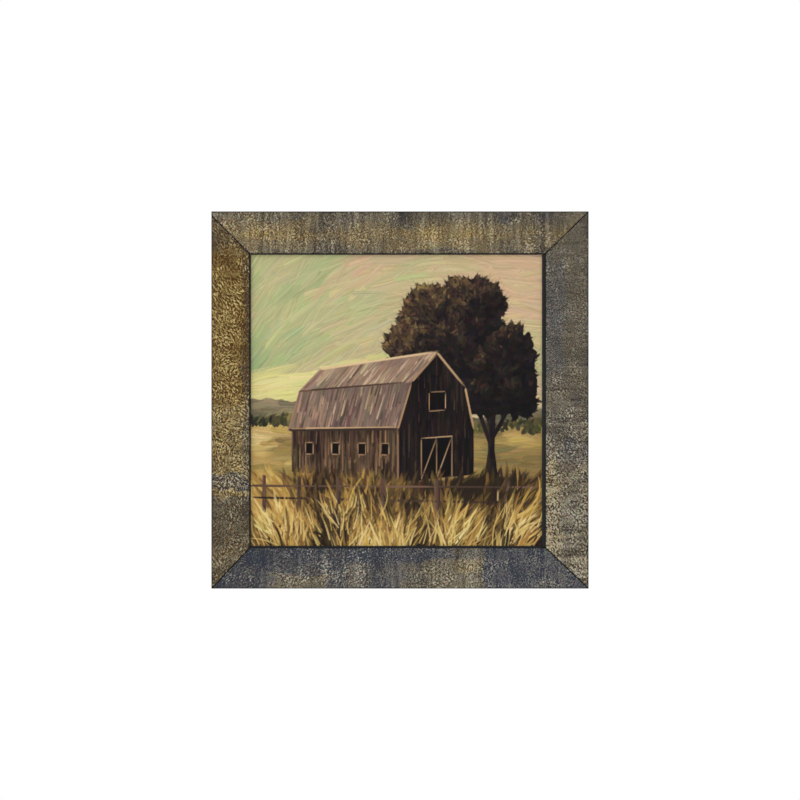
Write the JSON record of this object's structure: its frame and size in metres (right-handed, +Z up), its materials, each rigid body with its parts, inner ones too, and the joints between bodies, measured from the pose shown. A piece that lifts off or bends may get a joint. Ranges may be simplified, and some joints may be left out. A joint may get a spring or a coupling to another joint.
{
  "type": "framed picture",
  "caption": "Square wall picture in a mitred rough-sawn wooden frame with a black inner slip, backing boards, framer's points and a sawtooth hanger.",
  "frame": {"origin": "the middle notch of the sawtooth hanger, where the nail in the wall carries the picture, on the wall plane", "axes": "+Z up, -Y out of the wall towards the viewer, so the picture faces -Y, and +X to the viewer's right"},
  "size_m": [0.4572, 0.0248, 0.4572],
  "materials": {
    "rail_wood": "rough-sawn pine, dark wash with gold and pewter paint rubbed over it",
    "slip_paint": "black painted wood, satin",
    "print_face": "matt textured art paper with a painted scene",
    "mount_card": "grey greyboard",
    "hardboard": "brown pressed hardboard, mesh side out",
    "zinc_steel": "zinc-plated steel",
    "rubber_pad": "soft black rubber"
  },
  "bodies": {
    "root": {"rail_top": "rail_wood", "rail_right": "rail_wood", "rail_bottom": "rail_wood", "rail_left": "rail_wood", "slip_top": "slip_paint", "slip_right": "slip_paint", "slip_bottom": "slip_paint", "slip_left": "slip_paint", "print_sheet": "print_face", "mount_board": "mount_card", "backing_board": "hardboard", "point_top_1": "zinc_steel", "point_top_2": "zinc_steel", "point_top_3": "zinc_steel", "point_right_1": "zinc_steel", "point_right_2": "zinc_steel", "point_right_3": "zinc_steel", "point_bottom_1": "zinc_steel", "point_bottom_2": "zinc_steel", "point_bottom_3": "zinc_steel", "point_left_1": "zinc_steel", "point_left_2": "zinc_steel", "point_left_3": "zinc_steel", "wedge_top_1": "zinc_steel", "wedge_top_2": "zinc_steel", "wedge_right_1": "zinc_steel", "wedge_right_2": "zinc_steel", "wedge_bottom_1": "zinc_steel", "wedge_bottom_2": "zinc_steel", "wedge_left_1": "zinc_steel", "wedge_left_2": "zinc_steel", "hanger": "zinc_steel", "hanger_nail_left": "zinc_steel", "hanger_nail_right": "zinc_steel", "pad_left": "rubber_pad", "pad_right": "rubber_pad"}
  },
  "joints": []
}
